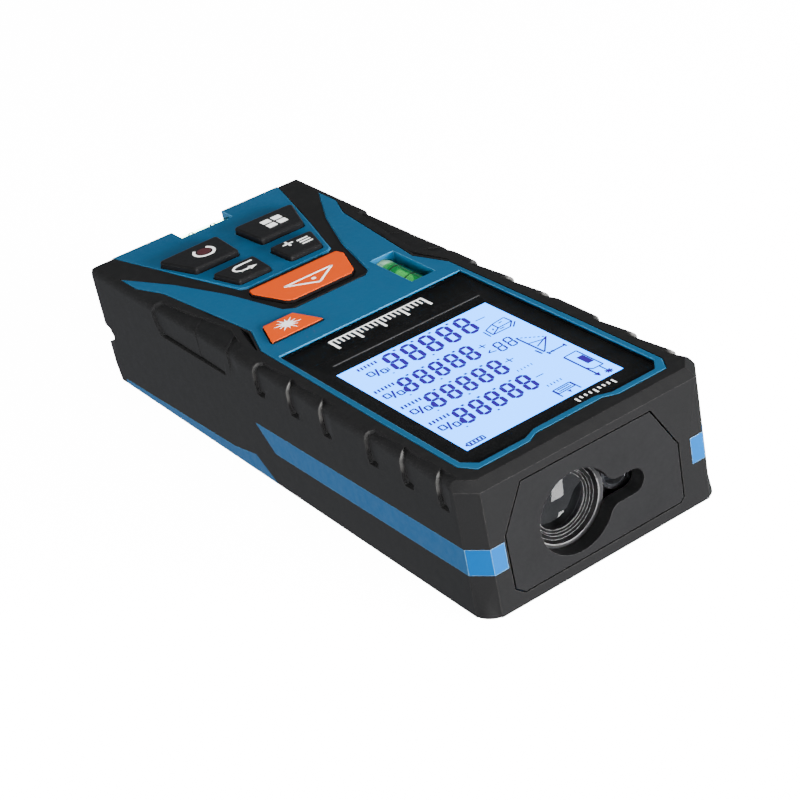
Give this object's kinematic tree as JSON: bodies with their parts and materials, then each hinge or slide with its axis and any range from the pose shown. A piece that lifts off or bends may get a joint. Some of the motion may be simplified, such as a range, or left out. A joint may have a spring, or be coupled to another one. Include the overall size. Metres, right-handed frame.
{
  "type": "laser distance meter",
  "caption": "Hand-held laser distance meter: blue shell in a black rubber jacket, large display, angular keypad, two bubble vials, keyhole laser aperture.",
  "frame": {"origin": "centre of the flat back face, under the middle of the length", "axes": "+Y to the laser end, +Z out of the display and keypad, +X to the right of a user who holds the laser end away"},
  "size_m": [0.0504, 0.126, 0.0262],
  "materials": {
    "shell_blue": "fine satin moulded ABS",
    "jacket_rubber": "matt overmoulded TPU",
    "trim_blue": "satin",
    "accent_blue": "gloss",
    "panel_black": "fine spark-eroded texture",
    "housing_black": "fine texture",
    "key_black": "satin silicone-coated",
    "key_orange": "satin",
    "silicone_grey": "matt",
    "gasket_black": "matt",
    "clear_glass": "polished",
    "mask_black": "gloss",
    "lcd": "satin",
    "backlight_white": "satin",
    "holder_white": "satin",
    "circuit_green": "solder mask",
    "chip_black": "matt",
    "dome_steel": "bright",
    "nickel_steel": "bright nickel plate",
    "spring_steel": "bright",
    "screw_steel": "zinc plated",
    "strap_steel": "polished",
    "brass": "turned",
    "cell_wrap": "printed sleeve",
    "foam": "matt foam",
    "flex_amber": "polyimide film",
    "bench_alloy": "as cast",
    "barrel_black": "matt anti-reflection",
    "ring_black": "satin",
    "optic_glass": "polished, coated",
    "diode_can": "gold flash",
    "vial_clear": "clear acrylic",
    "vial_liquid": "green spirit",
    "vial_air": "air",
    "vial_plug": "satin",
    "buzzer_black": "matt"
  },
  "bodies": {
    "housing": {"backlight": "backlight_white", "battery_a": "cell_wrap", "battery_b": "cell_wrap", "battery_contacts": "nickel_steel", "battery_springs": "spring_steel", "board_components": "chip_black", "board_screws": "screw_steel", "buzzer": "buzzer_black", "case_screws": "screw_steel", "collimator_lens": "optic_glass", "corner_accents": "accent_blue", "display_window": "clear_glass", "dome_switches": "dome_steel", "end_vial_liquid": "vial_liquid", "end_vial_plugs": "vial_plug", "end_vial_tube": "vial_clear", "flex_cable": "flex_amber", "front_panel": "panel_black", "front_shell": "shell_blue", "grip_jacket": "jacket_rubber", "housing_gasket": "gasket_black", "key_mat": "silicone_grey", "laser_diode": "diode_can", "laser_module": "barrel_black", "laser_window": "optic_glass", "lcd_holder": "holder_white", "lcd_panel": "lcd", "lens_barrel": "barrel_black", "lens_retainer": "ring_black", "main_board": "circuit_green", "optical_bench": "bench_alloy", "optics_board": "circuit_green", "photodiode": "diode_can", "processor_chip": "chip_black", "rear_shell": "housing_black", "receiver_lens": "optic_glass", "side_trims": "trim_blue", "side_vial_liquid": "vial_liquid", "side_vial_plugs": "vial_plug", "side_vial_tube": "vial_clear", "strap_bar": "strap_steel", "tripod_insert": "brass", "window_mask": "mask_black"},
    "power_key": {"power_key": "key_black"},
    "function_key": {"function_key": "key_black"},
    "unit_key": {"unit_key": "key_black"},
    "save_key": {"save_key": "key_black"},
    "measure_key": {"measure_key": "key_orange"},
    "laser_key": {"laser_key": "key_orange"},
    "battery_door": {"battery_cover": "housing_black", "battery_pad": "foam"},
    "side_bubble": {"side_vial_bubble": "vial_air"},
    "end_bubble": {"end_vial_bubble": "vial_air"}
  },
  "joints": [
    {"name": "power_key_press", "type": "slide", "parent": "housing", "child": "power_key", "axis": [0, 0, -1], "range_m": [0, 0.0006], "stiffness_N_per_m": 150, "springref_m": -0.0003},
    {"name": "function_key_press", "type": "slide", "parent": "housing", "child": "function_key", "axis": [0, 0, -1], "range_m": [0, 0.0006], "stiffness_N_per_m": 150, "springref_m": -0.0003},
    {"name": "unit_key_press", "type": "slide", "parent": "housing", "child": "unit_key", "axis": [0, 0, -1], "range_m": [0, 0.0006], "stiffness_N_per_m": 150, "springref_m": -0.0003},
    {"name": "save_key_press", "type": "slide", "parent": "housing", "child": "save_key", "axis": [0, 0, -1], "range_m": [0, 0.0006], "stiffness_N_per_m": 150, "springref_m": -0.0003},
    {"name": "measure_key_press", "type": "slide", "parent": "housing", "child": "measure_key", "axis": [0, 0, -1], "range_m": [0, 0.0006], "stiffness_N_per_m": 150, "springref_m": -0.0003},
    {"name": "laser_key_press", "type": "slide", "parent": "housing", "child": "laser_key", "axis": [0, 0, -1], "range_m": [0, 0.0006], "stiffness_N_per_m": 150, "springref_m": -0.0003},
    {"name": "battery_door_lift", "type": "slide", "parent": "housing", "child": "battery_door", "axis": [0, 0, -1], "range_m": [0, 0.02]},
    {"name": "side_bubble_drift", "type": "slide", "parent": "housing", "child": "side_bubble", "axis": [0, 1, 0], "range_m": [-0.0025, 0.0025]},
    {"name": "end_bubble_drift", "type": "slide", "parent": "housing", "child": "end_bubble", "axis": [1, 0, 0], "range_m": [-0.0025, 0.0025]}
  ]
}
